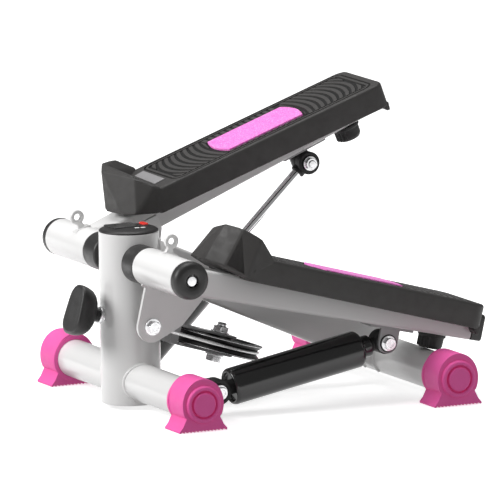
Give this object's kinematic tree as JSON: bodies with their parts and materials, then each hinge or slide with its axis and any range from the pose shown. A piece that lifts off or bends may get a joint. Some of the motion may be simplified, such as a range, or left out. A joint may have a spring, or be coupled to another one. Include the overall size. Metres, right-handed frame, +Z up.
{
  "type": "stepper",
  "caption": "Mini stepper with a foot plate on each swinging arm, a damper under each arm, a cable round an adjustable pulley, and a console on the post.",
  "frame": {"origin": "on the floor, under the middle of the whole machine's box", "axes": "+Z up, +Y from the post towards the heels of the foot plates, +X to the user's left pedal, which is down at rest"},
  "size_m": [0.3428, 0.4078, 0.2955],
  "materials": {
    "white_powder_coat": "smooth gloss powder coat",
    "black_plastic": "moulded, fine grain",
    "black_enamel": "gloss enamel",
    "pink_rubber": "soft matte",
    "pink_grip": "speckled, matte",
    "zinc_steel": "zinc plated",
    "chrome": "polished",
    "grey_steel": "satin grey",
    "black_rubber": "matte",
    "red_button": "gloss",
    "dark_display": "clear, gloss"
  },
  "bodies": {
    "base": {"front_post": "white_powder_coat", "front_cross_tube": "white_powder_coat", "rear_cross_tube": "white_powder_coat", "main_beam": "white_powder_coat", "pedal_axle": "zinc_steel", "front_left_foot": "pink_rubber", "front_right_foot": "pink_rubber", "rear_left_foot": "pink_rubber", "rear_right_foot": "pink_rubber", "console_housing": "black_plastic", "console_display": "dark_display", "left_lower_bracket": "black_enamel", "right_lower_bracket": "black_enamel", "left_lower_bolt": "zinc_steel", "right_lower_bolt": "zinc_steel", "drive_cable": "zinc_steel"},
    "console_button": {"console_button": "red_button"},
    "knob": {"adjuster_knob": "black_plastic", "adjuster_screw": "zinc_steel"},
    "carriage": {"pulley_bracket": "grey_steel", "pulley_bolt": "zinc_steel", "pulley_nut": "zinc_steel"},
    "pulley_wheel": {"pulley_wheel": "black_plastic"},
    "left_pedal": {"left_pivot_sleeve": "white_powder_coat", "left_inner_bush": "black_plastic", "left_outer_cap": "black_plastic", "left_band_eye": "white_powder_coat", "left_gusset": "white_powder_coat", "left_cable_bolt": "zinc_steel", "left_pedal_arm": "white_powder_coat", "left_arm_plug": "black_plastic", "left_foot_plate": "black_plastic", "left_grip_pad": "pink_grip", "left_bumper": "black_rubber", "left_upper_bracket": "grey_steel", "left_upper_bolt": "zinc_steel"},
    "left_damper_body": {"left_damper_cylinder": "black_enamel", "left_lower_eye": "black_rubber"},
    "left_damper_rod": {"left_damper_rod": "chrome", "left_upper_eye": "black_rubber", "left_upper_nut": "zinc_steel"},
    "right_pedal": {"right_pivot_sleeve": "white_powder_coat", "right_inner_bush": "black_plastic", "right_outer_cap": "black_plastic", "right_band_eye": "white_powder_coat", "right_gusset": "white_powder_coat", "right_cable_bolt": "zinc_steel", "right_pedal_arm": "white_powder_coat", "right_arm_plug": "black_plastic", "right_foot_plate": "black_plastic", "right_grip_pad": "pink_grip", "right_bumper": "black_rubber", "right_upper_bracket": "grey_steel", "right_upper_bolt": "zinc_steel"},
    "right_damper_body": {"right_damper_cylinder": "black_enamel", "right_lower_eye": "black_rubber"},
    "right_damper_rod": {"right_damper_rod": "chrome", "right_upper_eye": "black_rubber", "right_upper_nut": "zinc_steel"}
  },
  "joints": [
    {"name": "left_pedal", "type": "hinge", "parent": "base", "child": "left_pedal", "pos_m": [0, -0.14008, 0.149], "axis": [1, 0, 0], "range_deg": [0, 35.2], "deforming": ["drive_cable"]},
    {"name": "right_pedal", "type": "hinge", "parent": "base", "child": "right_pedal", "pos_m": [0, -0.14008, 0.149], "axis": [1, 0, 0], "range_deg": [-35.2, 0]},
    {"name": "left_damper_swing", "type": "hinge", "parent": "base", "child": "left_damper_body", "pos_m": [0, -0.08608, 0.0245], "axis": [1, 0, 0], "range_deg": [0, 34.6]},
    {"name": "left_rod_slide", "type": "slide", "parent": "left_damper_body", "child": "left_damper_rod", "axis": [0, 0.9838, 0.1793], "range_m": [0, 0.0795]},
    {"name": "right_damper_swing", "type": "hinge", "parent": "base", "child": "right_damper_body", "pos_m": [0, -0.08608, 0.0245], "axis": [1, 0, 0], "range_deg": [-33, 0]},
    {"name": "right_rod_slide", "type": "slide", "parent": "right_damper_body", "child": "right_damper_rod", "axis": [0, 0.7174, 0.6967], "range_m": [-0.085, 0]},
    {"name": "knob_turn", "type": "hinge", "parent": "base", "child": "knob", "pos_m": [0, -0.03908, 0.0545], "axis": [0, 0.9563, -0.2924], "range_deg": [0, 1200]},
    {"name": "pulley_carriage", "type": "slide", "parent": "base", "child": "carriage", "axis": [0, -0.9563, 0.2924], "range_m": [0, 0.005]},
    {"name": "pulley_spin", "type": "hinge", "parent": "carriage", "child": "pulley_wheel", "pos_m": [0, -0.03908, 0.0545], "axis": [0, 0.2924, 0.9563], "range_deg": [0, 36]},
    {"name": "button_press", "type": "slide", "parent": "base", "child": "console_button", "axis": [0, 0, -1], "range_m": [0, 0.0012], "stiffness_N_per_m": 800}
  ],
  "couplings": [
    {"joint": "right_pedal", "follows": "left_pedal", "ratio": -1},
    {"joint": "left_damper_swing", "follows": "left_pedal", "ratio": 0.97967},
    {"joint": "left_rod_slide", "follows": "left_pedal", "m_per_rad": 0.12906},
    {"joint": "right_damper_swing", "follows": "left_pedal", "ratio": -0.93285},
    {"joint": "right_rod_slide", "follows": "left_pedal", "m_per_rad": -0.13798},
    {"joint": "pulley_spin", "follows": "left_pedal", "ratio": 1.012},
    {"joint": "knob_turn", "follows": "pulley_carriage", "rad_per_m": 4188}
  ]
}
